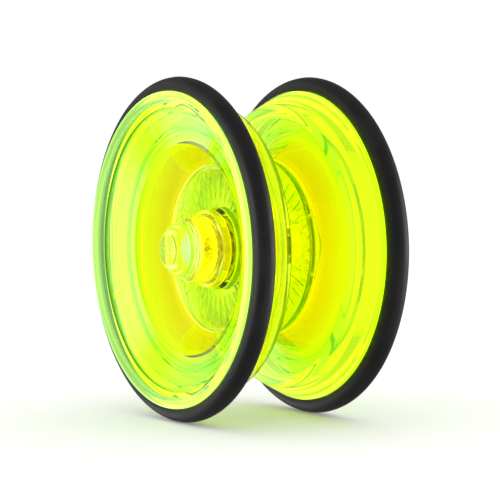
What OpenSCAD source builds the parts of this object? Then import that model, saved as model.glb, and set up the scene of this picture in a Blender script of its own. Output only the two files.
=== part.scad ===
// Wide butterfly yo-yo with a ball-bearing axle and rubber-tyred rims.
// The axle runs along Y and the ball bearing's centre is at the origin.
// The front half is on the -Y side and the rear half is on the +Y side.
// Each half is drawn along +Z and then laid over, so in the profiles a point is
// [distance from the axle, distance from the middle of the string gap, corner radius].

/* [Overall] */
// Diameter over the rubber tyres
overall_d = 75; // [68:0.5:84]
// Width over the two rims
overall_w = 40; // [38:0.5:46]

/* [String gap] */
// Width of the string gap between the two hub faces
string_gap = 4.4; // [4.2:0.1:5]
// Radius of the flat hub face beside the string gap
hub_face_r = 10.4; // [10:0.1:13]
// Distance from the tyre's seat edge in to the crest of the gap wall
crest_inset = 3.45; // [2.5:0.05:6]
// Height of the crest of the gap wall above the middle of the string gap
crest_height = 7.08; // [6:0.02:8.5]
// Radius that rounds the crest of the gap wall
crest_round = 2; // [1:0.1:2.4]

/* [Shell] */
// Thickness of the shell's floor
floor_wall = 2.3; // [1.8:0.1:2.8]
// Height of the shell's flat inner floor above the middle of the string gap
seat_height = 5.9; // [5.6:0.05:6.2]
// Width of the rounded bead that the rim ends in
bead_w = 1.9; // [1.5:0.1:2.4]
// Radius that rounds the bead's two corners
bead_round = 0.6; // [0.3:0.05:0.7]

/* [Tyre] */
// Thickness of the round rubber tyre
tyre_d = 4.9; // [4:0.1:5.4]
// Depth that the plastic rim lies below the tyre's crown
tyre_proud = 3.1; // [2.6:0.1:3.4]
// Distance from the rim's face in to the middle of the tyre
tyre_inset = 3.36; // [3.2:0.02:4]
// Gap between the tyre and its groove
tyre_fit = 0.05; // [0.02:0.01:0.1]

/* [Dish] */
// Distance from the shell's outer edge in to the dish's edge
dish_inset = 3.5; // [3.3:0.05:4.5]
// Depth of the dish's edge below the rim's face
dish_sink = 2; // [1.5:0.05:2.6]
// Thickness of the dish's edge where it seats
dish_edge = 2.4; // [1.8:0.1:2.8]
// Height of the rim's upright step above the dish's edge
seam_step = 0.55; // [0.2:0.05:0.8]
// Width of the shallow ledge between the dish's edge and the cup's mouth
ledge_w = 7.9; // [7:0.1:9.4]
// Depth of the cup's mouth below the rim's face
cup_mouth_sink = 5; // [4:0.1:6]
// Level distance from the cup's mouth in to its floor
cup_run = 5; // [4:0.25:6]
// Thickness of the cup's floor
cup_floor = 1.7; // [1.2:0.1:2.4]
// Thickness of the cup's sloping wall
cup_wall = 1.9; // [1.5:0.1:2.1]
// Thickness of the dish's ledge
ledge_wall = 2.2; // [1.6:0.1:2.4]
// Radius of the hole in the dish's floor
dish_hole_r = 9; // [8.8:0.05:9.8]
// Gap between the dish's edge and its seat in the rim
dish_fit = 0.05; // [0.02:0.01:0.12]
// Number of raised ribs on the cup's floor
rib_count = 36; // [12:1:48]
// Height of the raised ribs
rib_h = 0.3; // [0.1:0.05:0.5]

/* [Hub cap] */
// Radius of the hub cap's flange
flange_r = 8.5; // [8:0.1:8.7]
// Radius of the hub cap's grained barrel
barrel_r = 7.3; // [6.9:0.05:7.6]
// Depth of the hub cap's tip below the rim's face
tip_sink = 0.3; // [0.1:0.1:3]
// Gap between the hub cap and the shell's boss
cap_fit = 0.05; // [0.02:0.01:0.1]

/* [Axle] */
// Diameter of the threaded axle
axle_d = 4; // [3:0.25:4]
// Length of the axle
axle_l = 20.4; // [19.6:0.2:21.6]
// Thread pitch of the axle
axle_pitch = 0.7; // [0.5:0.05:0.8]
// Distance across the flats of the axle nuts
nut_flats = 7; // [6:0.25:7.25]
// Thickness of the axle nuts
nut_h = 3.2; // [2.4:0.1:3.2]
// Running gap round the axle
axle_fit = 0.05; // [0.02:0.01:0.1]

/* [Bearing] */
// Outer diameter of the ball bearing
bearing_d = 12.7; // [12:0.05:13]
// Bore diameter of the ball bearing
bearing_bore = 6.35; // [6:0.05:6.5]
// Width of the ball bearing
bearing_w = 4.76; // [4.4:0.02:5]
// Diameter of the bearing balls
ball_d = 1.588; // [1.4:0.002:1.6]
// Number of bearing balls
ball_count = 10; // [7:1:11]

/* [Response pad] */
// Width of the land between the bearing and the response pad
pad_land = 1.15; // [0.8:0.05:1.4]
// Width of the response pad
pad_w = 1.7; // [1.2:0.1:2]
// Thickness of the response pad
pad_h = 1; // [0.6:0.1:1.2]
// Height of the response pad above the hub face
pad_proud = 0.1; // [0:0.02:0.2]

/* [Hidden] */

$fn = 96;
eps = 0.01;              // overlap that keeps cuts and unions clean
arc_steps = 6;           // straight stretches in a rounded corner

plastic = [0.78, 0.92, 0.05];
clear_plastic = [0.85, 0.93, 0.25];
rubber = [0.13, 0.13, 0.13];

half_w = overall_w / 2;
gap_half = string_gap / 2;

// Rim and tyre
tyre_mid_r = (overall_d - tyre_d) / 2;
tyre_mid_z = half_w - tyre_inset;
rim_r = overall_d / 2 - tyre_proud;
lip_drop = 3.19;                       // from the tyre's middle down to the lip of the gap wall
lip_z = tyre_mid_z - lip_drop;
lip_round = 0.35;
crest_r = rim_r - crest_inset;
hub_round = 3;                         // radius where the hub face turns into the gap wall
bead_in_r = rim_r - bead_w;
bead_lean = 0.3;                       // how far the bead's inner side leans in
bead_foot_z = 1.1;                     // depth of the bead's inner foot below the rim's face

// Dish and its seat in the rim
dish_r = rim_r - dish_inset;
dish_top_z = half_w - dish_sink;
dish_seat_z = dish_top_z - dish_edge;
seat_ledge = 0.9;                      // width of the ledge that the dish rests on
seat_in_r = dish_r - seat_ledge;
under_ledge_h = 5.1;                   // height above the crest where the inner wall turns outwards
turn_in = 2.2;                         // distance from the crest in to the turn of the inner wall
foot_room = 0.4;                       // gap between the dish's foot and the inner wall
cup_mouth_z = half_w - cup_mouth_sink;
cup_floor_z = seat_height + cup_floor;
cup_lift = 0.4;                        // rise of the cup's floor from its hole to its edge
cup_mouth_r = dish_r - ledge_w;
cup_floor_r = cup_mouth_r - cup_run;
ledge_slope = (dish_top_z - cup_mouth_z) / (dish_r - cup_mouth_r);
wall_lean = (cup_mouth_r - cup_floor_r) / (cup_mouth_z - cup_floor_z - cup_lift);
wall_shift = cup_wall * sqrt(1 + wall_lean * wall_lean);   // sloping wall's thickness, measured level
cup_foot_r = cup_floor_r + wall_shift - (cup_floor + cup_lift) * wall_lean;
ledge_turn_r = (cup_mouth_r + wall_shift - (ledge_wall + cup_mouth_r * ledge_slope) * wall_lean)
             / (1 - ledge_slope * wall_lean);
skirt_out_r = cup_mouth_r + 4;         // stiffening skirt under the ledge
skirt_wall = 1.4;
skirt_in_r = skirt_out_r - skirt_wall;
skirt_z = cup_mouth_z - 2.7;
edge_in_r = seat_in_r - 0.4;           // where the dish's edge thickens
edge_soft = 0.15;                      // radius that softens the dish's edge
small_round = 0.3;                     // radius of its other small corners
notch_angles = [114, 203];             // two small pry notches in the dish's edge
notch_w = 1.2;
notch_l = 0.7;
notch_h = 1;
rib_in_r = dish_hole_r + 1.6;
rib_out_r = cup_floor_r - 1.8;
rib_w = 0.5;
rib_foot = 0.2;                        // depth that each rib is rooted in the floor

// Bearing, spacers and shims
bearing_half = bearing_w / 2;
race_mid_r = (bearing_d + bearing_bore) / 4;
ball_r = ball_d / 2;
ball_play = 0.05;                      // gap between a ball and each race's groove
cage_play = 0.03;                      // gap between a ball and its cage pocket
land = 0.5;                            // half of the gap between the races' lands
shield_depth = 0.63;                   // depth of the shields' inner faces in the bearing
shield_z = bearing_half - shield_depth;
shield_h = 0.2;
shield_fit = 0.03;                     // gap between the shields and their seat
shield_inner_gap = 0.1;                // gap between the shields and the inner race
shield_step = 0.45;                    // depth of the seat that the shields lie in
snap_h = 0.25;
snap_in = 0.05;
snap_play = 0.02;
cage_half = 0.32;                      // half of the cage's thickness
cage_h = 2.1;
snap_gap_deg = 30;
bearing_room = 0.45;                   // gap between the turning shell and the outer race
shim_space = 0.3;
shim_play = 0.02;
shim_r = 4.2;
bore_fit = 0.02;                       // gap between the spacers and the bearing's bore
spacer_mid_gap = 0.2;                  // half of the gap between the two spacers
spacer_base_r = 4.3;
spacer_base_h = 0.92;
spacer_fit = 0.05;
spacer_z = bearing_half + shim_space;
spacer_top_z = spacer_z + spacer_base_h;

// Response pad, outside the bearing
pad_in_r = bearing_d / 2 + pad_land;
pad_out_r = pad_in_r + pad_w;

// Axle, nuts and the boss that holds them
axle_r = axle_d / 2;
nut_r = nut_flats / 2 / cos(30);
nut_fit = 0.05;
nut_foot = 0.5;                        // height of the nut's seat above the shell's inner floor
nut_seat_z = seat_height + nut_foot;
boss_wall = 1.3;
boss_r = nut_r + nut_fit + boss_wall;
boss_lip = 0.3;                        // how far the boss stands above the axle's end and the nut
boss_top_z = max(axle_l / 2, nut_seat_z + nut_h) + boss_lip;
nut_chamfer_flat = 0.15;               // part of the nut's corner that its chamfer leaves
socket_flats = 2;
socket_depth = 1.6;
axle_chamfer = axle_pitch / 2;         // start of the thread at each end
hole_play = 4 * axle_fit;              // gap between the axle and the shell's hole

// Hub cap
cap_bore_r = boss_r + cap_fit;
cap_bore_z = boss_top_z + cap_fit;
cap_skirt_r = barrel_r - 0.1;
flange_lift = 0.7;                     // gap between the flange and the cup's floor
flange_z = cup_floor_z + flange_lift;
flange_h = 1.9;
barrel_foot = 0.4;                     // height of the blend from the flange into the barrel
barrel_z = flange_z + flange_h + barrel_foot;
tip_z = half_w - tip_sink;
step_h = 0.7;                          // height of each of the three rings below the nose
step_in = 0.3;                         // how far each ring steps in
step_rise = 0.1;                       // slope of each ring's foot
barrel_lean = 0.35;                    // how much the barrel narrows
neck_r = barrel_r - barrel_lean;
steps_drop = 4.8;                      // depth of the lowest ring's foot below the tip
steps_z = tip_z - steps_drop;
nose_r = 5.1;
nose_h = 1.3;
tip_r = 3.4;
dimple_r = 1.2;
dimple_in_r = 0.9;
dimple_h = 0.3;
clear_side = 1;                        // room round the axle's end when the rear half backs off
clear_h = 2.6;                         // and above it
clear_r = axle_r + clear_side;
clear_z = boss_top_z + clear_h;

// A corner of a profile, rounded by an arc worked out from its two neighbours
function unit(v) = v / norm(v);
function turned(v, a) = [v.x * cos(a) - v.y * sin(a), v.x * sin(a) + v.y * cos(a)];
function rounded_corner(before, at, after, rad) =
    let (a = unit(before - at),
         b = unit(after - at),
         half = acos(a * b) / 2,
         middle = at + unit(a + b) * rad / sin(half),
         start = at + a * rad / tan(half) - middle,
         finish = at + b * rad / tan(half) - middle,
         side = cross(start, finish) > 0 ? 1 : -1,
         sweep = side * (180 - 2 * half))
    [for (i = [0:arc_steps]) middle + turned(start, sweep * i / arc_steps)];
function soft(p) =
    [for (i = [0:len(p) - 1])
        let (n = len(p), prev = p[(i + n - 1) % n], next = p[(i + 1) % n], here = p[i])
        each here[2] == 0 ? [[here[0], here[1]]]
             : rounded_corner([prev[0], prev[1]], [here[0], here[1]], [next[0], next[1]], here[2])];

module to_front() rotate([90, 0, 0]) children();
module to_rear() rotate([-90, 0, 0]) children();
module ring(out_r, in_r, z, h) {
    translate([0, 0, z]) difference() {
        cylinder(r = out_r, h = h);
        translate([0, 0, -eps]) cylinder(r = in_r, h = h + 2 * eps);
    }
}

// Outline of a half's shell: gap wall, rim bead, dish seat and inner floor
function gap_wall_z(r) = gap_half + (r - hub_face_r) * (crest_height - gap_half) / (crest_r - hub_face_r);
shell_outline = [
    [0, gap_half, 0],
    [hub_face_r, gap_half, hub_round],
    [crest_r, crest_height, crest_round],
    [rim_r, lip_z, lip_round],
    [rim_r, half_w, bead_round],
    [bead_in_r, half_w, bead_round],
    [bead_in_r - bead_lean, half_w - bead_foot_z, 0.2],
    [dish_r, dish_top_z + seam_step, 0],
    [dish_r, dish_seat_z, 0],
    [seat_in_r, dish_seat_z, 0],
    [seat_in_r, crest_height + under_ledge_h, 1],
    [crest_r - turn_in, gap_wall_z(crest_r - turn_in) + floor_wall, 1.5],
    [cup_foot_r + foot_room, seat_height, 0],
    [0, seat_height, 0],
];

module shell() {
    difference() {
        union() {
            rotate_extrude() difference() {
                polygon(soft(shell_outline));
                translate([tyre_mid_r, tyre_mid_z]) circle(r = tyre_d / 2 + tyre_fit);
            }
            translate([0, 0, seat_height - eps]) cylinder(r = boss_r, h = boss_top_z - seat_height + eps);
        }
        // seats of the bearing, the spacer and the response pad, all open to the gap
        translate([0, 0, -eps]) cylinder(r = bearing_d / 2 + bearing_room, h = spacer_z + eps);
        cylinder(r = spacer_base_r + spacer_fit, h = spacer_top_z);
        ring(pad_out_r + spacer_fit, pad_in_r - spacer_fit, 0, gap_half - pad_proud + pad_h);
        // axle hole and the nut's pocket, open to the hub cap
        cylinder(r = axle_r + hole_play, h = boss_top_z);
        translate([0, 0, nut_seat_z]) cylinder(r = nut_r + nut_fit, h = boss_top_z, $fn = 6);
    }
}

module tyre() {
    rotate_extrude() translate([tyre_mid_r, tyre_mid_z]) circle(d = tyre_d);
}

// Outline of the dish: shallow ledge, deep cup, ribbed floor and stiffening skirt
function ledge_z(r) = cup_mouth_z + (r - cup_mouth_r) * ledge_slope;
dish_outline = [
    [dish_r - dish_fit, dish_top_z, edge_soft],
    [cup_mouth_r, cup_mouth_z, 0.8],
    [cup_floor_r, cup_floor_z + cup_lift, 1.5],
    [dish_hole_r, cup_floor_z, 0.2],
    [dish_hole_r, seat_height, 0.2],
    [cup_foot_r, seat_height, 1],
    [ledge_turn_r, ledge_z(ledge_turn_r) - ledge_wall, 0.6],
    [skirt_in_r, ledge_z(skirt_in_r) - ledge_wall, small_round],
    [skirt_in_r, skirt_z, small_round],
    [skirt_out_r, skirt_z, small_round],
    [skirt_out_r, ledge_z(skirt_out_r) - ledge_wall, small_round],
    [edge_in_r, dish_seat_z, 0.2],
    [dish_r - dish_fit, dish_seat_z, edge_soft],
];

module dish() {
    difference() {
        union() {
            rotate_extrude() polygon(soft(dish_outline));
            for (i = [0:rib_count - 1])
                rotate([0, 0, i * 360 / rib_count])
                    translate([rib_in_r, -rib_w / 2, cup_floor_z - rib_foot])
                        cube([rib_out_r - rib_in_r, rib_w, rib_foot + cup_lift / 2 + rib_h]);
        }
        for (a = notch_angles)
            rotate([0, 0, a])
                translate([dish_r - notch_l, -notch_w / 2, dish_top_z - notch_h])
                    cube([2 * notch_l, notch_w, 2 * notch_h]);
    }
}

// Outline of the hub cap: skirt, flange, grained barrel, three rings and clear nose
cap_outline = [
    [0, cap_bore_z, 0],
    [cap_bore_r, cap_bore_z, 0],
    [cap_bore_r, seat_height, 0],
    [cap_skirt_r, seat_height, 0],
    [cap_skirt_r, flange_z, 0.2],
    [flange_r, flange_z, 0.35],
    [flange_r, flange_z + flange_h, 0.5],
    [barrel_r, barrel_z, 0.3],
    [neck_r, steps_z, 0.25],
    [neck_r - step_in, steps_z + step_rise, 0],
    [neck_r - step_in, steps_z + step_h, 0.15],
    [neck_r - 2 * step_in, steps_z + step_h + step_rise, 0],
    [neck_r - 2 * step_in, steps_z + 2 * step_h, 0.15],
    [neck_r - 3 * step_in, steps_z + 2 * step_h + step_rise, 0],
    [neck_r - 3 * step_in, steps_z + 3 * step_h + 2 * step_rise, 0.5],
    [nose_r, tip_z - nose_h, 0.5],
    [tip_r, tip_z, 0.6],
    [dimple_r, tip_z, 0.1],
    [dimple_in_r, tip_z - dimple_h, 0.1],
    [0, tip_z - dimple_h, 0],
];

module hub_cap() {
    difference() {
        rotate_extrude() polygon(soft(cap_outline));
        translate([0, 0, cap_bore_z - eps]) cylinder(r = clear_r, h = clear_z - cap_bore_z + eps);
    }
}

module pad() {
    ring(pad_out_r, pad_in_r, gap_half - pad_proud, pad_h);
}

module nut() {
    chamfer_r = nut_flats / 2 + nut_chamfer_flat;
    translate([0, 0, nut_seat_z]) difference() {
        intersection() {
            cylinder(r = nut_r, h = nut_h, $fn = 6);
            cylinder(r1 = chamfer_r, r2 = chamfer_r + nut_h, h = nut_h);
            cylinder(r1 = chamfer_r + nut_h, r2 = chamfer_r, h = nut_h);
        }
        translate([0, 0, -eps]) cylinder(r = axle_r + axle_fit, h = nut_h + 2 * eps);
    }
}

module spacer() {
    difference() {
        union() {
            translate([0, 0, spacer_mid_gap])
                cylinder(r = bearing_bore / 2 - bore_fit, h = spacer_top_z - spacer_mid_gap);
            translate([0, 0, spacer_z]) cylinder(r = spacer_base_r, h = spacer_base_h);
        }
        cylinder(r = axle_r + axle_fit, h = spacer_top_z + eps);
    }
}

module shim() {
    ring(shim_r, bearing_bore / 2 + spacer_fit, bearing_half + shim_play, shim_space - 2 * shim_play);
}

module shield() {
    ring(race_mid_r + land + shield_step - shield_fit, race_mid_r - land + shield_inner_gap,
         shield_z, shield_h);
}

module snap_ring() {
    difference() {
        ring(race_mid_r + land + shield_step - shield_fit, race_mid_r + land + snap_in,
             shield_z + shield_h + snap_play, snap_h);
        translate([0, 0, shield_z])
            rotate([0, 0, -snap_gap_deg / 2])
                rotate_extrude(angle = snap_gap_deg) square([bearing_d / 2, bearing_w]);
    }
}

// Bearing parts, drawn about Z with the ball circle in the middle
module groove_cut() {
    rotate_extrude() translate([race_mid_r, 0]) circle(r = ball_r + ball_play, $fn = 48);
}

module outer_race() {
    seat_h = bearing_half - shield_z;
    difference() {
        ring(bearing_d / 2, race_mid_r + land, -bearing_half, bearing_w);
        groove_cut();
        translate([0, 0, shield_z]) cylinder(r = race_mid_r + land + shield_step, h = seat_h + eps);
        translate([0, 0, -bearing_half - eps])
            cylinder(r = race_mid_r + land + shield_step, h = seat_h + eps);
    }
}

module inner_race() {
    difference() {
        ring(race_mid_r - land, bearing_bore / 2, -bearing_half, bearing_w);
        groove_cut();
    }
}

module balls() {
    for (i = [0:ball_count - 1])
        rotate([0, 0, i * 360 / ball_count]) translate([race_mid_r, 0, 0]) sphere(d = ball_d, $fn = 48);
}

module cage() {
    difference() {
        ring(race_mid_r + cage_half, race_mid_r - cage_half, -cage_h / 2, cage_h);
        for (i = [0:ball_count - 1])
            rotate([0, 0, i * 360 / ball_count])
                translate([race_mid_r, 0, 0]) rotate([0, 90, 0])
                    cylinder(r = ball_r + cage_play, h = ball_d, center = true);
    }
}

module front_shell() color(plastic) to_front() shell();
module rear_shell() color(plastic) to_rear() shell();
module front_tyre() color(rubber) to_front() tyre();
module rear_tyre() color(rubber) to_rear() tyre();
module front_dish() color(plastic) to_front() dish();
module rear_dish() color(plastic) to_rear() dish();
module front_hub_cap() color(clear_plastic) to_front() hub_cap();
module rear_hub_cap() color(clear_plastic) to_rear() hub_cap();
module front_pad() color(rubber) to_front() pad();
module rear_pad() color(rubber) to_rear() pad();
module front_nut() color("gold") to_front() nut();
module rear_nut() color("gold") to_rear() nut();
module front_spacer() color("silver") to_front() spacer();
module rear_spacer() color("silver") to_rear() spacer();
module front_shim() color("white") to_front() shim();
module rear_shim() color("white") to_rear() shim();
module front_shield() color("silver") to_front() shield();
module rear_shield() color("silver") to_rear() shield();
module front_snap_ring() color("gray") to_front() snap_ring();
module rear_snap_ring() color("gray") to_rear() snap_ring();
module bearing_outer_race() color("silver") to_rear() outer_race();
module bearing_inner_race() color("silver") to_rear() inner_race();
module bearing_balls() color("white") to_rear() balls();
module bearing_cage() color("goldenrod") to_rear() cage();

module axle() {
    color("gray") to_rear() difference() {
        rotate_extrude() polygon([
            [0, -axle_l / 2],
            [axle_r - axle_chamfer, -axle_l / 2],
            [axle_r, axle_chamfer - axle_l / 2],
            [axle_r, axle_l / 2 - axle_chamfer],
            [axle_r - axle_chamfer, axle_l / 2],
            [0, axle_l / 2],
        ]);
        for (end = [-1, 1])
            translate([0, 0, end * axle_l / 2])
                cylinder(r = socket_flats / 2 / cos(30), h = 2 * socket_depth, center = true, $fn = 6);
    }
}

front_shell();
rear_shell();
front_tyre();
rear_tyre();
front_dish();
rear_dish();
front_hub_cap();
rear_hub_cap();
front_pad();
rear_pad();
front_nut();
rear_nut();
front_spacer();
rear_spacer();
front_shim();
rear_shim();
axle();
bearing_outer_race();
bearing_inner_race();
bearing_balls();
bearing_cage();
front_shield();
rear_shield();
front_snap_ring();
rear_snap_ring();
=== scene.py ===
"""Looks of a transparent ball-bearing yo-yo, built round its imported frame.

The axle runs along Y through the origin. Each half is drawn along +Z, with a profile point as
(distance from the axle, distance from the middle of the string gap), and is then laid over to its side.
Profiles are in millimetres, as on a workshop drawing, and become metres when a mesh is made.
"""
import logging
import math
from dataclasses import dataclass, replace
from enum import Enum
from typing import Any, ClassVar, Iterable, Sequence

import bmesh
import bpy
import numpy as np
from mathutils import Matrix, Vector


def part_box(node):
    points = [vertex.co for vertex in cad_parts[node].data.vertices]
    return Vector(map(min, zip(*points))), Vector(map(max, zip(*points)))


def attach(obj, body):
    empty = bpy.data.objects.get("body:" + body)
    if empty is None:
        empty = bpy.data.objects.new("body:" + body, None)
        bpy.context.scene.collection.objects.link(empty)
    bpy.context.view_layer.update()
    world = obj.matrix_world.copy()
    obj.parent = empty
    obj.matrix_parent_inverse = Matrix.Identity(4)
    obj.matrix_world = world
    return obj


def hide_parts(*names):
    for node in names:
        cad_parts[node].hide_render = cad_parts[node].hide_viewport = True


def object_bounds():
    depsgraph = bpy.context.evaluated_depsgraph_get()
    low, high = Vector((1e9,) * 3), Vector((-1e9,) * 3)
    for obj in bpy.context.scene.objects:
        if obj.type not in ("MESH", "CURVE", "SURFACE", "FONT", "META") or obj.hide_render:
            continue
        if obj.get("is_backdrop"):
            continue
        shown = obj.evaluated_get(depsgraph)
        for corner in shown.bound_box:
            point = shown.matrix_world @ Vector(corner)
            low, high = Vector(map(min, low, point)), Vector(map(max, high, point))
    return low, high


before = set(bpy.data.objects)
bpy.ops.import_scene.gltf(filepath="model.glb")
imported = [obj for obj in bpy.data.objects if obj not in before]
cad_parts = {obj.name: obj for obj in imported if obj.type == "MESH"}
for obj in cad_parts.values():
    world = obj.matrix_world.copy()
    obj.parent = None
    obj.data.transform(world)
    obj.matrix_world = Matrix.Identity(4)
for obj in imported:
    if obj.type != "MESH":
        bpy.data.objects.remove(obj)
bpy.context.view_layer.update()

MM = 0.001
PAD_INNER_R = 7.5             # the response pad's hole, which the shell's pad seat shares
ARC_STEPS = 8                 # straight stretches in a rounded corner
SHARP_DEG = 32.0              # edges that turn more than this stay crisp

Colour = tuple[float, float, float]
Point = tuple[float, float]

BLACK: Colour = (0.0, 0.0, 0.0)
WHITE: Colour = (1.0, 1.0, 1.0)

log = logging.getLogger("yoyo")


# --------------------------------------------------------------------------- halves and measures

class Side(Enum):
    """The two halves, by the way each one faces along the axle."""

    FRONT = -1
    REAR = 1

    def node(self, part: str) -> str:
        """Name of this half's CAD node for a part."""
        return f"{self.name.lower()}_{part}"

    @property
    def body(self) -> str:
        """Name of the moving body that this half belongs to."""
        return "spindle" if self is Side.FRONT else "rear_half"

    def laid_over(self, points: np.ndarray) -> np.ndarray:
        """Turns points drawn along +Z so that +Z points out of this half.

        Args:
            points: An (n, 3) array.

        Returns:
            The turned (n, 3) array.
        """
        x, y, z = points.T
        return np.column_stack((x, self.value * z, -self.value * y))


@dataclass(frozen=True)
class Reach:
    """How far a round node reaches, in millimetres."""

    radius: float
    near: float
    far: float

    @classmethod
    def of(cls, node: str) -> "Reach":
        """Measures a CAD node.

        Args:
            node: Name of a node that is round about the axle.

        Returns:
            Its radius, and how near and how far it lies from the middle of the string gap.
        """
        low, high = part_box(node)
        near, far = sorted((abs(low.y) / MM, abs(high.y) / MM))
        return cls(high.x / MM, near, far)


# --------------------------------------------------------------------------- profiles and meshes

@dataclass(frozen=True)
class Corner:
    """A corner of a turned profile.

    r and z place it, round is the radius that softens it, rows is how many rows of faces the stretch
    after it gets, and hexagon makes its ring six-sided, with r as the distance to the hexagon's corners.
    """

    r: float
    z: float
    round: float = 0.0
    rows: int = 1
    hexagon: bool = False


def arc_at(before: Corner, here: Corner, after: Corner) -> list[Point]:
    """Rounds one corner of a profile.

    Args:
        before: The corner before it.
        here: The corner to round.
        after: The corner after it.

    Returns:
        Points along the arc, or the corner itself where it stays sharp.
    """
    at = Vector((here.r, here.z))
    a = Vector((before.r, before.z)) - at
    b = Vector((after.r, after.z)) - at
    if here.round <= 0:
        return [(here.r, here.z)]
    half = a.angle(b) / 2
    reach = min(here.round / math.tan(half), 0.98 * min(a.length, b.length))
    radius = reach * math.tan(half)
    middle = at + (a.normalized() + b.normalized()).normalized() * (radius / math.sin(half))
    start = at + a.normalized() * reach - middle
    turn = (b.normalized() * reach + at - middle).angle_signed(start)
    return [tuple(middle + Matrix.Rotation(turn * i / ARC_STEPS, 2) @ start) for i in range(ARC_STEPS + 1)]


def outline(corners: Sequence[Corner], closed: bool = True) -> list[tuple[float, float, bool]]:
    """Turns a profile's corners into the points of its outline.

    Args:
        corners: The corners in order.
        closed: Whether the outline is a loop, or else runs from the axle back to the axle.

    Returns:
        One (r, z, hexagon) for each ring of the turned mesh.
    """
    rings: list[tuple[float, float, bool]] = []
    for i, corner in enumerate(corners):
        ends = not closed and i in (0, len(corners) - 1)
        following = corners[(i + 1) % len(corners)]
        arc = [(corner.r, corner.z)] if ends else arc_at(corners[i - 1], corner, following)
        rings += [(r, z, corner.hexagon) for r, z in arc]
        if corner.rows > 1:
            (r0, z0), (r1, z1) = arc[-1], (following.r, following.z)
            if following.round > 0:
                (r1, z1) = arc_at(corner, following, corners[(i + 2) % len(corners)])[0]
            rings += [(r0 + (r1 - r0) * k / corner.rows, z0 + (z1 - z0) * k / corner.rows, corner.hexagon)
                      for k in range(1, corner.rows)]
    return rings


def turned(name: str, corners: Sequence[Corner], segments: int, closed: bool = True) -> bpy.types.Mesh:
    """Turns a profile about Z into a closed mesh with outward faces.

    Args:
        name: Name of the mesh.
        corners: The profile's corners, in millimetres.
        segments: Number of faces round the axle, a multiple of six.
        closed: Whether the profile is a loop, or else starts and ends on the axle.

    Returns:
        The mesh, in metres.
    """
    rings = outline(corners, closed)
    angle = np.arange(segments) * 2 * math.pi / segments
    sixth = np.mod(angle, math.pi / 3) - math.pi / 6
    flat = math.cos(math.pi / 6) / np.cos(sixth)
    points: list[np.ndarray] = []
    starts: list[tuple[int, int]] = []
    for r, z, hexagon in rings:
        pole = r < 1e-6
        reach = r * (flat if hexagon else np.ones(segments))
        ring = np.column_stack((reach * np.cos(angle), reach * np.sin(angle), np.full(segments, z)))
        starts.append((sum(len(p) for p in points), 1 if pole else segments))
        points.append(ring[:1] if pole else ring)
    faces: list[tuple[int, ...]] = []
    pairs = zip(starts, starts[1:] + starts[:1]) if closed else zip(starts, starts[1:])
    for (a, count_a), (b, count_b) in pairs:
        for k in range(segments):
            n = (k + 1) % segments
            corner_ids = [a + k % count_a, b + k % count_b, b + n % count_b, a + n % count_a]
            faces.append(tuple(dict.fromkeys(corner_ids)))
    mesh = bpy.data.meshes.new(name)
    mesh.from_pydata(np.concatenate(points) * MM, [], faces)
    return mesh


def laid(mesh: bpy.types.Mesh, side: Side) -> bpy.types.Mesh:
    """Lays a mesh that was drawn along +Z over to one half's side.

    Args:
        mesh: The mesh, changed in place.
        side: The half it belongs to.

    Returns:
        The same mesh.
    """
    flat = np.empty(len(mesh.vertices) * 3)
    mesh.vertices.foreach_get("co", flat)
    mesh.vertices.foreach_set("co", side.laid_over(flat.reshape(-1, 3)).ravel())
    mesh.update()
    return mesh


def shaded(mesh: bpy.types.Mesh) -> bpy.types.Mesh:
    """Points every face outwards and shades it smooth between crisp edges.

    Args:
        mesh: A closed mesh, changed in place.

    Returns:
        The same mesh.
    """
    work = bmesh.new()
    work.from_mesh(mesh)
    bmesh.ops.recalc_face_normals(work, faces=work.faces)
    work.to_mesh(mesh)
    work.free()
    mesh.polygons.foreach_set("use_smooth", [True] * len(mesh.polygons))
    mesh.set_sharp_from_angle(angle=math.radians(SHARP_DEG))
    mesh.update()
    return mesh


def placed(name: str, mesh: bpy.types.Mesh, body: str, finish: "Finish",
           replaced: Iterable[str]) -> bpy.types.Object:
    """Adds a finished piece to the scene, hangs it on its body and hides the CAD nodes that it stands for.

    Args:
        name: Name of the piece.
        mesh: Its mesh, in place in the frame.
        body: The body that it moves with.
        finish: What it is finished in.
        replaced: The CAD nodes that it stands for.

    Returns:
        The piece.
    """
    piece = bpy.data.objects.new(name, mesh)
    bpy.context.scene.collection.objects.link(piece)
    mesh.materials.clear()
    mesh.materials.append(finish.material())
    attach(piece, body)
    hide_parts(*replaced)
    log.info("%s: %d faces on %s", name, len(mesh.polygons), body)
    return piece


# --------------------------------------------------------------------------- node trees

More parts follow.
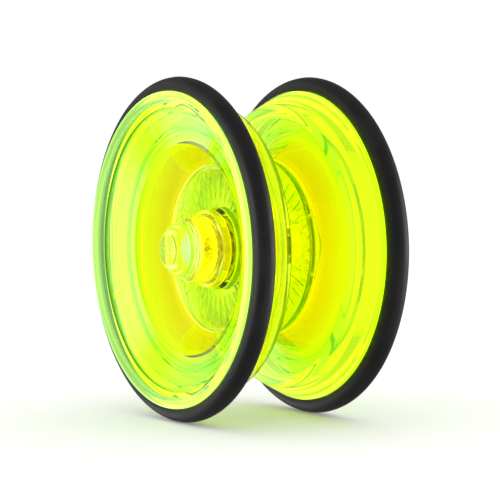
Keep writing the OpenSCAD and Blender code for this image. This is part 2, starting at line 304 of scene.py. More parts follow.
class Wiring:
    """A short way to write a shader or geometry node tree."""

    def __init__(self, tree: bpy.types.NodeTree) -> None:
        """Starts on a tree.

        Args:
            tree: The tree to add nodes to.
        """
        self.tree = tree

    def node(self, kind: str, sockets: dict[Any, Any] | None = None, **settings: Any) -> bpy.types.Node:
        """Adds a node.

        Args:
            kind: The node's type name.
            sockets: Its inputs by name or number, each a plain value or another node's output.
            settings: Its own settings, set before its inputs.

        Returns:
            The node.
        """
        made = self.tree.nodes.new(kind)
        for name, value in settings.items():
            setattr(made, name, value)
        for name, value in (sockets or {}).items():
            if isinstance(value, bpy.types.NodeSocket):
                self.tree.links.new(value, made.inputs[name])
            else:
                made.inputs[name].default_value = value
        return made

    def math(self, operation: str, *values: Any) -> bpy.types.NodeSocket:
        """Adds a sum and returns its result."""
        return self.node("ShaderNodeMath", dict(enumerate(values)), operation=operation).outputs[0]

    def ramp(self, value: Any, low: Any, high: Any, to_low: Any = 0.0,
             to_high: Any = 1.0) -> bpy.types.NodeSocket:
        """Maps a value smoothly from one range to another.

        Args:
            value: The value.
            low: Where the change starts.
            high: Where it ends.
            to_low: The result at the start.
            to_high: The result at the end.

        Returns:
            The result.
        """
        sockets = {"Value": value, "From Min": low, "From Max": high, "To Min": to_low, "To Max": to_high}
        return self.node("ShaderNodeMapRange", sockets, interpolation_type="SMOOTHSTEP").outputs["Result"]

    def mix(self, share: Any, first: Any, second: Any, blend: str = "MIX") -> bpy.types.NodeSocket:
        """Mixes two colours.

        Args:
            share: How much of the second colour shows.
            first: The first colour.
            second: The second colour.
            blend: How they are mixed.

        Returns:
            The mixed colour.
        """
        sockets = {0: share, 6: first, 7: second}
        return self.node("ShaderNodeMix", sockets, data_type="RGBA", blend_type=blend).outputs[2]

    def noise(self, where: Any, scale: Any, detail: float = 2.0,
              roughness: float = 0.5) -> bpy.types.NodeSocket:
        """Adds a noise pattern.

        Args:
            where: The coordinates it reads.
            scale: Its scale, in waves per metre.
            detail: How many finer layers it has.
            roughness: How strong those are.

        Returns:
            A value that is about a half on average.
        """
        sockets = {"Vector": where, "Scale": scale, "Detail": detail, "Roughness": roughness}
        return self.node("ShaderNodeTexNoise", sockets).outputs["Fac"]

    def group(self, group: "Group", sockets: dict[str, Any] | None = None) -> Any:
        """Places a shared node group.

        Args:
            group: Which group.
            sockets: Its inputs by name.

        Returns:
            Its outputs.
        """
        return self.node("ShaderNodeGroup", sockets, node_tree=GroupShelf.get(group)).outputs

    def link(self, links: dict[str, Any], sockets: Any) -> None:
        """Links outputs to inputs.

        Args:
            links: Each input's name and the output it takes.
            sockets: The inputs.
        """
        for name, output in links.items():
            self.tree.links.new(output, sockets[name])


def rgba(colour: Colour) -> tuple[float, float, float, float]:
    """A colour with full alpha."""
    return (*colour, 1.0)


class Group(Enum):
    """The shader node groups that the finishes share."""

    AXLE_PLACE = "Axle place"
    ZONED_TINT = "Zoned tint"
    HANDLED_GLOSS = "Handled gloss"
    GLOW_ZONE = "Glow zone"
    TURNED_METAL = "Turned metal"
    RUBBER_SKIN = "Rubber skin"


class GroupShelf:
    """Builds each shared node group once and hands it out by name."""

    SURFACE = {"Color": "NodeSocketColor", "Roughness": "NodeSocketFloat", "Height": "NodeSocketFloat"}

    @classmethod
    def get(cls, group: Group) -> bpy.types.NodeTree:
        """Gives a shared group, built the first time that it is asked for.

        Args:
            group: Which group.

        Returns:
            Its node tree.
        """
        made = bpy.data.node_groups.get(group.value)
        return made or getattr(cls, "_" + group.name.lower())(group.value)

    @staticmethod
    def _start(name: str, inputs: dict[str, Any], outputs: dict[str, str]) -> tuple[Wiring, Any, Any]:
        """Starts a shader group with named sockets.

        Args:
            name: The group's name.
            inputs: Each input's name and its value, a number or a colour.
            outputs: Each output's name and its socket type.

        Returns:
            Its wiring, its inputs' node and its outputs' node.
        """
        tree = bpy.data.node_groups.new(name, "ShaderNodeTree")
        for label, value in inputs.items():
            kind = "NodeSocketColor" if isinstance(value, tuple) else "NodeSocketFloat"
            socket = tree.interface.new_socket(label, in_out="INPUT", socket_type=kind)
            socket.default_value = rgba(value) if isinstance(value, tuple) else value
        for label, kind in outputs.items():
            tree.interface.new_socket(label, in_out="OUTPUT", socket_type=kind)
        wiring = Wiring(tree)
        return wiring, wiring.node("NodeGroupInput").outputs, wiring.node("NodeGroupOutput").inputs

    @classmethod
    def _axle_place(cls, name: str) -> bpy.types.NodeTree:
        """Distance from the axle, and distance along it from the string gap, in millimetres.

        Args:
            name: The group's name.

        Returns:
            Its node tree.
        """
        kinds = {"Radius": "NodeSocketFloat", "Along": "NodeSocketFloat", "Point": "NodeSocketVector"}
        w, _, out = cls._start(name, {}, kinds)
        place = w.node("ShaderNodeTexCoord").outputs["Object"]
        x, y, z = w.node("ShaderNodeSeparateXYZ", {0: place}).outputs
        square = w.math("ADD", w.math("MULTIPLY", x, x), w.math("MULTIPLY", z, z))
        w.link({"Radius": w.math("DIVIDE", w.math("SQRT", square), MM),
                "Along": w.math("DIVIDE", w.math("ABSOLUTE", y), MM), "Point": place}, out)
        return w.tree

    @classmethod
    def _zoned_tint(cls, name: str) -> bpy.types.NodeTree:
        """A dyed plastic's tint, which turns from one colour to another and is never quite even; from black,
        it also gives the painted edge glow.

        Args:
            name: The group's name.

        Returns:
            Its node tree.
        """
        inputs = {"Core": WHITE, "Edge": WHITE, "Measure": 0.0, "Start": 0.0, "End": 1.0, "Unevenness": 0.0,
                  "Clouds": 55.0}
        w, given, out = cls._start(name, inputs, {"Color": "NodeSocketColor"})
        place = w.group(Group.AXLE_PLACE)["Point"]
        zone = w.ramp(given["Measure"], given["Start"], given["End"])
        tint = w.mix(zone, given["Core"], given["Edge"])
        cloud = w.math("SUBTRACT", w.noise(place, given["Clouds"], 3.0), 0.5)
        value = w.math("MULTIPLY_ADD", cloud, given["Unevenness"], 1.0)
        w.link({"Color": w.node("ShaderNodeHueSaturation", {"Color": tint, "Value": value}).outputs[0]}, out)
        return w.tree

    @classmethod
    def _glow_zone(cls, name: str) -> bpy.types.NodeTree:
        """A colour inside a ring-shaped zone about the axle, broken up by the grain of the surface; as a glow
        it is painted light, and for frost it is added to the roughness.

        Args:
            name: The group's name.

        Returns:
            Its node tree.
        """
        inputs = {"Color": WHITE, "Inner": 0.0, "Outer": 0.0, "Near": 0.0, "Far": 0.0, "Soft": 0.2,
                  "Grain": 0.0, "Cells": 1800.0, "Full at": 0.75}
        w, given, out = cls._start(name, inputs, {"Color": "NodeSocketColor"})
        place = w.group(Group.AXLE_PLACE)
        shares = []
        for measure, low, high in (("Radius", "Inner", "Outer"), ("Along", "Near", "Far")):
            here, start = place[measure], w.math("SUBTRACT", given[high], given["Soft"])
            shares += [w.ramp(here, given[low], w.math("ADD", given[low], given["Soft"])),
                       w.ramp(here, start, given[high], 1.0, 0.0)]
        cells = w.node("ShaderNodeTexVoronoi", {"Vector": place["Point"], "Scale": given["Cells"]}).outputs[0]
        share = w.math("MULTIPLY_ADD", w.math("SUBTRACT", cells, given["Full at"]), given["Grain"], 1.0)
        for factor in shares:
            share = w.math("MULTIPLY", share, factor)
        w.link({"Color": w.mix(share, rgba(BLACK), given["Color"])}, out)
        return w.tree

    @classmethod
    def _handled_gloss(cls, name: str) -> bpy.types.NodeTree:
        """The roughness and fine waviness of a polished moulding that has been handled.

        Args:
            name: The group's name.

        Returns:
            Its node tree.
        """
        inputs = {"Polish": 0.0, "Smudges": 0.0, "Scratches": 0.0, "Waviness": 0.0, "Prints": 110.0,
                  "Waves": 90.0}
        kinds = {"Roughness": "NodeSocketFloat", "Height": "NodeSocketFloat"}
        w, given, out = cls._start(name, inputs, kinds)
        place = w.group(Group.AXLE_PLACE)["Point"]
        smudge = w.ramp(w.noise(place, given["Prints"], 4.0, 0.6), 0.52, 0.72)
        stretch = w.node("ShaderNodeMapping", {"Vector": place, "Rotation": (0.4, 0.9, 0.2),
                                               "Scale": (60.0, 2600.0, 900.0)}).outputs[0]
        scratch = w.ramp(w.noise(stretch, 1.0, 1.0), 0.72, 0.78)
        rough = w.math("MULTIPLY_ADD", smudge, given["Smudges"], given["Polish"])
        w.link({"Roughness": w.math("MULTIPLY_ADD", scratch, given["Scratches"], rough),
                "Height": w.math("MULTIPLY", w.noise(place, given["Waves"], 1.0), given["Waviness"])}, out)
        return w.tree

    @classmethod
    def _turned_metal(cls, name: str) -> bpy.types.NodeTree:
        """Fine rings left by a lathe, with darker patches where the metal has been handled.

        Args:
            name: The group's name.

        Returns:
            Its node tree.
        """
        inputs = {"Metal": WHITE, "Stain": WHITE, "Rings per mm": 9.0, "Polish": 0.2, "Spread": 0.15,
                  "Patches": 420.0}
        w, given, out = cls._start(name, inputs, cls.SURFACE)
        place = w.group(Group.AXLE_PLACE)
        across = w.math("ADD", place["Radius"], place["Along"])
        turns = w.math("MULTIPLY", across, given["Rings per mm"])
        wave = w.math("SINE", w.math("MULTIPLY", turns, 2 * math.pi))
        stain = w.ramp(w.noise(place["Point"], given["Patches"], 4.0, 0.6), 0.45, 0.75)
        w.link({"Color": w.mix(w.math("MULTIPLY", stain, 0.5), given["Metal"], given["Stain"]),
                "Roughness": w.math("MULTIPLY_ADD", stain, given["Spread"], given["Polish"]),
                "Height": w.math("MULTIPLY_ADD", wave, 0.5, 0.5)}, out)
        return w.tree

    @classmethod
    def _rubber_skin(cls, name: str) -> bpy.types.NodeTree:
        """Moulded rubber: a fine grain, a faint bloom in patches and specks of dust.

        Args:
            name: The group's name.

        Returns:
            Its node tree.
        """
        inputs = {"Rubber": BLACK, "Bloom": BLACK, "Dust": WHITE, "Dust amount": 0.3, "Polish": 0.45,
                  "Spread": 0.15, "Patches": 130.0, "Specks": 700.0, "Pores": 5200.0}
        w, given, out = cls._start(name, inputs, cls.SURFACE)
        place = w.group(Group.AXLE_PLACE)["Point"]
        bloom = w.ramp(w.noise(place, given["Patches"], 4.0, 0.6), 0.4, 0.75)
        cells = w.node("ShaderNodeTexVoronoi", {"Vector": place, "Scale": given["Specks"]}).outputs
        speck = w.ramp(cells["Distance"], 0.03, 0.09, 1.0, 0.0)
        chance = w.node("ShaderNodeSeparateColor", {0: cells["Color"]}).outputs[0]
        chosen = w.math("GREATER_THAN", chance, 0.9)
        dust = w.math("MULTIPLY", w.math("MULTIPLY", speck, chosen), given["Dust amount"])
        base = w.mix(bloom, given["Rubber"], given["Bloom"])
        w.link({"Color": w.mix(dust, base, given["Dust"]),
                "Roughness": w.math("MULTIPLY_ADD", bloom, given["Spread"], given["Polish"]),
                "Height": w.noise(place, given["Pores"], 2.0, 0.6)}, out)
        return w.tree


# --------------------------------------------------------------------------- finishes

@dataclass(frozen=True)
class Finish:
    """What a piece is finished in: a node-based material, with the name of a material slot of the record that
    nothing here reads.
    """

    name: str
    slot: str

    def material(self) -> bpy.types.Material:
        """Gives this finish's material, built the first time that it is asked for.

        Returns:
            The material.
        """
        made = bpy.data.materials.get(self.name)
        if made is None:
            made = bpy.data.materials.new(self.name)
            made.use_nodes = True
            made.node_tree.nodes.clear()
            wiring = Wiring(made.node_tree)
            shader = wiring.node("ShaderNodeBsdfPrincipled")
            wiring.node("ShaderNodeOutputMaterial", {"Surface": shader.outputs[0]})
            self.dress(wiring, shader)
        return made

    def dress(self, w: Wiring, shader: bpy.types.Node) -> None:
        """Sets the shader and wires the patterns into it.

        Args:
            w: The material's wiring.
            shader: Its Principled BSDF.
        """
        raise NotImplementedError

    @staticmethod
    def feed(w: Wiring, shader: bpy.types.Node, links: dict[str, Any], **plain: Any) -> None:
        """Sets the shader's plain sockets and links the patterned ones.

        Args:
            w: The material's wiring.
            shader: Its Principled BSDF.
            links: Patterned inputs by name.
            plain: Plain inputs, with an underscore for each space.
        """
        for name, value in plain.items():
            shader.inputs[name.replace("_", " ")].default_value = value
        w.link(links, shader.inputs)

    @staticmethod
    def bump(w: Wiring, height: Any, depth: float, strength: float = 1.0) -> bpy.types.NodeSocket:
        """Adds a bump.

        Args:
            w: The material's wiring.
            height: The height pattern, from 0 to 1.
            depth: How deep it is, in metres.
            strength: How much of it shows.

        Returns:
            The bumped normal.
        """
        sockets = {"Height": height, "Distance": depth, "Strength": strength}
        return w.node("ShaderNodeBump", sockets).outputs["Normal"]


class Measure(Enum):
    """What a clear plastic's tint follows."""

    RADIUS = "Radius"
    ALONG = "Along"


@dataclass(frozen=True)
class Glow:
    """A ring-shaped zone about the axle, in millimetres, with an emission colour.

    As a glow it is painted light, which brightens lips, steps and grained faces that would otherwise look
    dark; the dye's own fluorescence gives only part of it. For frost its colour is added to the roughness
    instead.
    """

    colour: Colour
    inner: float = -1.0
    outer: float = 99.0
    near: float = -1.0
    far: float = 99.0
    soft: float = 0.2
    grain: float = 0.0

    def wired(self, w: Wiring) -> bpy.types.NodeSocket:
        """Adds the zone to a material and gives its colour.

        Args:
            w: The material's wiring.

        Returns:
            The glow's colour, black outside the zone.
        """
        sockets = {"Color": rgba(self.colour), "Inner": self.inner, "Outer": self.outer, "Near": self.near,
                   "Far": self.far, "Soft": self.soft, "Grain": self.grain}
        return w.group(Group.GLOW_ZONE, sockets)[0]


@dataclass(frozen=True)
class ClearPlastic(Finish):
    """Transparent dyed plastic that glows towards its edges and in ring zones.

    The glow is emission: partly the edge glow that fluorescent dyes give, and partly painted light that
    brightens places which would otherwise look dark. The tint turns from core to edge between start and end,
    in millimetres, and frost is a zone whose colour is added to the roughness.
    """

    core: Colour = (0.89, 0.865, 0.003)
    edge: Colour = (0.80, 0.93, 0.02)
    measure: Measure = Measure.RADIUS
    start: float = 23.0
    end: float = 32.0
    # Colour and strength of the painted edge glow: emission that lifts the plastic's edges
    glow: Colour = (0.10, 0.50, 0.01)
    glow_strength: float = 0.22
    unevenness: float = 0.06
    polish: float = 0.0
    smudges: float = 0.035
    scratches: float = 0.05
    waviness: float = 1.0
    ripple: float = 0.00004
    refraction: float = 1.5
    # Ring zones of extra painted glow, added to the emission
    painted_glows: tuple[Glow, ...] = ()
    frost: Glow | None = None

    def dress(self, w: Wiring, shader: bpy.types.Node) -> None:
        """Wires the zoned tint, the painted edge glow and the handled gloss.

        Args:
            w: The material's wiring.
            shader: Its Principled BSDF.
        """
        zone = {"Measure": w.group(Group.AXLE_PLACE)[self.measure.value], "Start": self.start,
                "End": self.end, "Unevenness": self.unevenness}
        # The second zoned tint, from black to the edge glow colour, is painted light fed to the emission
        tint, shine = (w.group(Group.ZONED_TINT, {"Core": rgba(core), "Edge": rgba(edge), **zone})[0]
                       for core, edge in ((self.core, self.edge), (BLACK, self.glow)))
        gloss = w.group(Group.HANDLED_GLOSS, {"Polish": self.polish, "Smudges": self.smudges,
                                              "Scratches": self.scratches, "Waviness": self.waviness})
        rough = gloss["Roughness"]
        if self.frost:
            rough = w.math("ADD", rough, self.frost.wired(w))
        normal = self.bump(w, gloss["Height"], self.ripple)
        # Each ring zone adds more painted glow to the emission
        for glow in self.painted_glows:
            shine = w.mix(1.0, shine, glow.wired(w), "ADD")
        patterns = {"Base Color": tint, "Emission Color": shine, "Roughness": rough, "Normal": normal}
        self.feed(w, shader, patterns, IOR=self.refraction, Transmission_Weight=1.0,
                  Emission_Strength=self.glow_strength)


@dataclass(frozen=True)
class Rubber(Finish):
    """Moulded rubber or silicone."""

    rubber: Colour = (0.007, 0.007, 0.0072)
    bloom: Colour = (0.012, 0.012, 0.0122)
    dust: Colour = (0.16, 0.16, 0.15)
    dust_amount: float = 0.35
    polish: float = 0.42
    spread: float = 0.12
    shine: float = 0.35
    pores: float = 0.00002

    def dress(self, w: Wiring, shader: bpy.types.Node) -> None:
        """Wires the rubber's grain, bloom and dust.

        Args:
            w: The material's wiring.
            shader: Its Principled BSDF.
        """
        skin = w.group(Group.RUBBER_SKIN, {"Rubber": rgba(self.rubber), "Bloom": rgba(self.bloom),
                                           "Dust": rgba(self.dust), "Dust amount": self.dust_amount,
                                           "Polish": self.polish, "Spread": self.spread})
        normal = self.bump(w, skin["Height"], self.pores, 0.5)
        self.feed(w, shader, {"Base Color": skin["Color"], "Roughness": skin["Roughness"], "Normal": normal},
                  Specular_IOR_Level=self.shine)


@dataclass(frozen=True)
class Metal(Finish):
    """Turned, ground or pressed metal."""

    metal: Colour = (0.62, 0.62, 0.63)
    stain: Colour = (0.42, 0.42, 0.43)
    rings: float = 9.0
    polish: float = 0.2
    spread: float = 0.15
    ridge: float = 0.000004

    def dress(self, w: Wiring, shader: bpy.types.Node) -> None:
        """Wires the turning marks.

        Args:
            w: The material's wiring.
            shader: Its Principled BSDF.
        """
        face = w.group(Group.TURNED_METAL, {"Metal": rgba(self.metal), "Stain": rgba(self.stain),
                                            "Rings per mm": self.rings, "Polish": self.polish,
                                            "Spread": self.spread})
        normal = self.bump(w, face["Height"], self.ridge)
        self.feed(w, shader, {"Base Color": face["Color"], "Roughness": face["Roughness"], "Normal": normal},
                  Metallic=1.0)


@dataclass(frozen=True)
class Nylon(Finish):
    """Natural nylon sheet, milky and faintly mottled."""

    nylon: Colour = (0.80, 0.80, 0.74)
    shade: Colour = (0.68, 0.68, 0.60)
    mottles: float = 900.0
    dimple: float = 0.000006

    def dress(self, w: Wiring, shader: bpy.types.Node) -> None:
        """Wires the mottling and the soft sheen.

        Args:
            w: The material's wiring.
            shader: Its Principled BSDF.
        """
        mottle = w.noise(w.group(Group.AXLE_PLACE)["Point"], self.mottles, 3.0)
        colour = w.mix(mottle, rgba(self.nylon), rgba(self.shade))
        rough = w.ramp(mottle, 0.2, 0.8, 0.45, 0.6)
        normal = self.bump(w, mottle, self.dimple)
        self.feed(w, shader, {"Base Color": colour, "Roughness": rough, "Normal": normal},
                  Subsurface_Weight=0.2, Subsurface_Radius=(0.0004, 0.0004, 0.0003))


# Each glow below is painted light: emission that brightens that zone of the shell where it would otherwise
# look dark
SHELL_PLASTIC = ClearPlastic("Neon shell plastic", "neon_plastic", painted_glows=(
    Glow((1.1, 1.75, 0.65), inner=31.05, near=18.75),                       # rim bead
    Glow((0.7, 1.1, 0.2), inner=30.3, outer=31.05, near=14.8, far=18.2),    # round the dish's edge
    Glow((1.1, 2.1, 0.0), inner=32.3, near=13.6, far=17.2),                 # tyre groove
    Glow((0.4, 0.3, 0.0), inner=28.6, outer=31.1, near=10.0, far=15.8),     # under the dish's seat
    Glow((0.8, 0.1, 0.0), inner=31.1, near=8.2, far=13.6),                  # outer part of the gap wall
))
# Each glow below is painted light: emission that brightens that zone of the dish
DISH_PLASTIC = ClearPlastic("Neon dish plastic", "dish_plastic", edge=(0.66, 0.93, 0.02), start=22.5,
                            end=26.5, painted_glows=(
    Glow((1.0, 0.75, 0.35), inner=17.9, outer=18.5, near=7.2, far=8.6),     # edge of the cup's floor
    Glow((0.15, 0.75, 0.0), inner=8.0, outer=18.6, near=5.0, far=8.2, soft=0.6),        # the floor itself
    Glow((0.35, 0.3, 0.0), inner=18.6, outer=21.0, near=5.0, far=8.2),      # foot of the cup
    Glow((0.3, 0.5, 0.0), inner=22.3, outer=23.9, near=12.0, far=15.8, soft=0.3),       # mouth of the cup
))
# The cap's glows are painted light: speckled painted glints over the grained barrel, and emission that
# brightens the flange, the bore and the nose tip
CAP_PLASTIC = ClearPlastic("Neon cap plastic", "cap_plastic", core=(0.93, 0.88, 0.01),
                           edge=(0.68, 0.94, 0.50), measure=Measure.ALONG, start=14.6, end=16.4,
                           glow=(0.06, 0.40, 0.06), waviness=0.6,
                           frost=Glow((0.2, 0.2, 0.2), inner=5.7, near=10.4, far=15.2), painted_glows=(
    Glow((1.0, 0.85, 0.0), inner=5.7, near=10.4, far=15.2, grain=2.0),      # grained barrel
    Glow((1.3, 1.2, 0.0), inner=5.7, near=7.5, far=10.5),                   # flange
    Glow((0.7, 0.6, 0.0), inner=2.6, outer=5.7, near=7.5, far=13.6),        # bore
    Glow((0.9, 1.5, 0.1), outer=4.2, near=19.0),                            # tip of the nose
))
TYRE_RUBBER = Rubber("Tyre rubber", "tyre_rubber")
PAD_RUBBER = Rubber("Pad silicone", "pad_rubber", polish=0.6, dust_amount=0.15, shine=0.3)
AXLE_STEEL = Metal("Nickelled axle steel", "axle_steel", metal=(0.80, 0.79, 0.75), stain=(0.60, 0.59, 0.55),
                   polish=0.22)
NUT_BRASS = Metal("Turned brass", "nut_brass", metal=(0.88, 0.72, 0.36), stain=(0.62, 0.46, 0.20), rings=5.0)
SPACER_ALUMINIUM = Metal("Turned aluminium", "spacer_aluminium", metal=(0.80, 0.81, 0.82),
                         stain=(0.62, 0.63, 0.65), rings=6.0, polish=0.24)
BEARING_STEEL = Metal("Ground bearing steel", "bearing_steel", metal=(0.70, 0.70, 0.71),
                      stain=(0.55, 0.55, 0.56), rings=14.0, polish=0.12, spread=0.1)
CAGE_BRASS = Metal("Pressed cage brass", "cage_brass", metal=(0.74, 0.56, 0.26), stain=(0.50, 0.36, 0.15),
                   rings=3.0, polish=0.3)
SHIM_NYLON = Nylon("Natural nylon", "shim_nylon")


# --------------------------------------------------------------------------- geometry node trees

class Shaper:
    """A geometry node tree with named sizes that reshapes or makes a mesh."""

    def __init__(self, name: str, sizes: dict[str, Any]) -> None:
        """Starts a tree with a geometry input, a material input and one input for each size.

        Args:
            name: The tree's name.
            sizes: Each size's name and its value, whole numbers as int.
        """
        self.tree = bpy.data.node_groups.new(name, "GeometryNodeTree")
        self.sizes = sizes
        self.tree.interface.new_socket("Geometry", in_out="INPUT", socket_type="NodeSocketGeometry")
        self.tree.interface.new_socket("Material", in_out="INPUT", socket_type="NodeSocketMaterial")
        for label, value in sizes.items():
            kind = "NodeSocketInt" if isinstance(value, int) else "NodeSocketFloat"
            self.tree.interface.new_socket(label, in_out="INPUT", socket_type=kind)
        self.tree.interface.new_socket("Geometry", in_out="OUTPUT", socket_type="NodeSocketGeometry")
        self.w = Wiring(self.tree)
        self.given = self.w.node("NodeGroupInput").outputs

    def finish(self, geometry: bpy.types.NodeSocket) -> None:
        """Ends the tree in plain mesh with its material.

        Args:
            geometry: The shaped geometry.
        """
        real = self.w.node("GeometryNodeRealizeInstances", {0: geometry})
        dressed = self.w.node("GeometryNodeSetMaterial", {"Geometry": real.outputs[0],
                                                          "Material": self.given["Material"]})
        self.w.node("NodeGroupOutput", {"Geometry": dressed.outputs[0]})

    def shift(self, geometry: Any, share: Any, rise: Any = 0.0) -> None:
        """Moves each point away from Z and along it, and ends the tree.

        Args:
            geometry: The points.
            share: How far each moves away, as a share of its distance from Z.
            rise: How far each moves along Z.
        """
        position = self.w.node("GeometryNodeInputPosition").outputs[0]
        x, y, _ = self.w.node("ShaderNodeSeparateXYZ", {0: position}).outputs
        away = {"X": self.w.math("MULTIPLY", x, share), "Y": self.w.math("MULTIPLY", y, share), "Z": rise}
        offset = self.w.node("ShaderNodeCombineXYZ", away).outputs[0]
        moved = self.w.node("GeometryNodeSetPosition", {"Geometry": geometry, "Offset": offset})
        self.finish(moved.outputs[0])

    def apply(self, mesh: bpy.types.Mesh, finish: Finish) -> bpy.types.Mesh:
        """Runs the tree on a mesh.

        Args:
            mesh: The mesh to shape.
            finish: The finish that the result gets.

        Returns:
            The shaped mesh, with the modifier already gone.
        """
        carrier = bpy.data.objects.new(mesh.name, mesh)
        bpy.context.scene.collection.objects.link(carrier)
        modifier = carrier.modifiers.new("shape", "NODES")
        modifier.node_group = self.tree
        values = {**self.sizes, "Material": finish.material()}
        for item in self.tree.interface.items_tree:
            if item.in_out == "INPUT" and item.name in values:
                modifier[item.identifier] = values[item.name]
        bpy.context.view_layer.update()
        shaped = bpy.data.meshes.new_from_object(carrier.evaluated_get(bpy.context.evaluated_depsgraph_get()))
        shaped.name = mesh.name
        bpy.data.objects.remove(carrier)
        return shaped


def polar(w: Wiring) -> tuple[Any, Any, Any, Any]:
    """Reads each point's place about Z, for a mesh drawn along +Z.

    Args:
        w: The tree's wiring.

    Returns:
        The distance from Z, the angle about it, the height and the position itself.
    """
    position = w.node("GeometryNodeInputPosition").outputs[0]
    x, y, z = w.node("ShaderNodeSeparateXYZ", {0: position}).outputs
    square = w.math("ADD", w.math("MULTIPLY", x, x), w.math("MULTIPLY", y, y))
    return w.math("SQRT", square), w.math("ARCTAN2", y, x), z, position


def raised_ribs(count: int, height: float, inner: float, outer: float, level: float) -> Shaper:
    """Raises a ring of radial ribs on an upward face.

    Args:
        count: Number of ribs.
        height: Their height, in millimetres.
        inner: Radius at which they start.
        outer: Radius at which they end.
        level: Height above which the face lies, so that the face under it stays flat.

    Returns:
        The tree, for a mesh drawn along +Z.
    """
    shaper = Shaper("Raised ribs", {"Count": count, "Height": height * MM, "Inner": inner * MM,
                                    "Outer": outer * MM, "Level": level * MM, "Fade": 0.5 * MM,
                                    "Foot": -0.1, "Crown": 0.75})
    w, given = shaper.w, shaper.given
    radius, angle, level_here, _ = polar(w)
    wave = w.math("COSINE", w.math("MULTIPLY", angle, given["Count"]))
    rib = w.ramp(wave, given["Foot"], given["Crown"])
    inside = w.ramp(radius, given["Inner"], w.math("ADD", given["Inner"], given["Fade"]))
    outside = w.ramp(radius, w.math("SUBTRACT", given["Outer"], given["Fade"]), given["Outer"], 1.0, 0.0)
    above = w.math("GREATER_THAN", level_here, given["Level"])
    lift = w.math("MULTIPLY", w.math("MULTIPLY", rib, inside), w.math("MULTIPLY", outside, above))
    shaper.shift(given["Geometry"], 0.0, w.math("MULTIPLY", lift, given["Height"]))
    return shaper


def eroded_grain(start: float, end: float, clear: float, depth: float) -> Shaper:
    """Roughens the outside of a barrel as a spark-eroded mould does.

    Args:
        start: Height at which the grain starts, in millimetres.
        end: Height at which it ends.
        clear: Radius within which nothing is changed.
        depth: Depth of the grain.

    Returns:
        The tree, for a mesh drawn along +Z.
    """
    shaper = Shaper("Eroded grain", {"Start": start * MM, "End": end * MM, "Clear": clear * MM,
                                     "Depth": depth * MM, "Fade": 0.25 * MM, "Cells": 2100.0,
                                     "Blend": 0.35, "Middle": 0.9})
    w, given = shaper.w, shaper.given
    radius, _, height, position = polar(w)
    sockets = {"Vector": position, "Scale": given["Cells"], "Smoothness": given["Blend"]}
    cells = w.node("ShaderNodeTexVoronoi", sockets, feature="SMOOTH_F1").outputs["Distance"]
    low = w.ramp(height, given["Start"], w.math("ADD", given["Start"], given["Fade"]))
    high = w.ramp(height, w.math("SUBTRACT", given["End"], given["Fade"]), given["End"], 1.0, 0.0)
    outside = w.math("GREATER_THAN", radius, given["Clear"])
    share = w.math("MULTIPLY", w.math("MULTIPLY", low, high), outside)
    grain = w.math("MULTIPLY", w.math("SUBTRACT", cells, given["Middle"]), given["Depth"])
    rise = w.math("MULTIPLY", grain, share)
    shaper.shift(given["Geometry"], w.math("DIVIDE", rise, w.math("MAXIMUM", radius, MM)))
    return shaper


def screw_thread(pitch: float, depth: float, clear: float, reach: float, tip: float) -> Shaper:
    """Cuts a right-hand thread into a rod.

    Args:
        pitch: The thread's pitch, in millimetres.
        depth: Its depth.
        clear: Radius within which nothing is changed.
        reach: Height, up and down, over which the thread has its full depth.
        tip: Length over which it runs out.

    Returns:
        The tree, for a rod drawn along Z and centred on the origin.
    """
    shaper = Shaper("Screw thread", {"Pitch": pitch * MM, "Depth": depth * MM, "Clear": clear * MM,
                                     "Reach": reach * MM, "Tip": tip * MM, "Crest": 0.08, "Root": 0.42})
    w, given = shaper.w, shaper.given
    radius, angle, height, _ = polar(w)
    turn = w.math("SUBTRACT", w.math("DIVIDE", height, given["Pitch"]), w.math("DIVIDE", angle, 2 * math.pi))
    groove = w.ramp(w.math("PINGPONG", turn, 0.5), given["Crest"], given["Root"])
    run_out = w.math("ADD", given["Reach"], given["Tip"])
    end = w.ramp(w.math("ABSOLUTE", height), given["Reach"], run_out, 1.0, 0.0)
    outside = w.math("GREATER_THAN", radius, given["Clear"])
    share = w.math("MULTIPLY", w.math("MULTIPLY", groove, end), outside)
    sink = w.math("DIVIDE", w.math("MULTIPLY", share, given["Depth"]), w.math("MAXIMUM", radius, MM))
    shaper.shift(given["Geometry"], w.math("MULTIPLY", sink, -1.0))
    return shaper


def swept_ring(ring: float, height: float, thickness: float, flash: float) -> Shaper:
    """Sweeps a round rubber cord into a ring, with the fine flash line of its two-part mould.

    Args:
        ring: Radius of the ring at the middle of the cord, in millimetres.
        height: Height of that middle.
        thickness: The cord's diameter.
        flash: Height of the flash line on the crown.

    Returns:
        The tree, which makes a ring about Z.
    """
    shaper = Shaper("Swept ring", {"Ring": ring * MM, "Height": height * MM, "Half": thickness / 2 * MM,
                                   "Flash": flash * MM, "Flash width": 0.12 * MM, "Round": 360,
                                   "Across": 64})
    w, given = shaper.w, shaper.given
    circles = ({"Resolution": given["Round"], "Radius": given["Ring"]},
               {"Resolution": given["Across"], "Radius": given["Half"]})
    path, cord = (w.node("GeometryNodeCurvePrimitiveCircle", sockets) for sockets in circles)
    swept = w.node("GeometryNodeCurveToMesh", {0: path.outputs[0], 1: cord.outputs[0]})
    radius, _, height_here, _ = polar(w)
    crown = w.math("MULTIPLY", w.math("GREATER_THAN", radius, given["Ring"]),
                   w.ramp(w.math("ABSOLUTE", height_here), 0.0, given["Flash width"], 1.0, 0.0))
    rise = w.math("DIVIDE", w.math("MULTIPLY", crown, given["Flash"]), radius)
    shaper.shift(swept.outputs[0], rise, given["Height"])
    return shaper


# --------------------------------------------------------------------------- the yo-yo's pieces

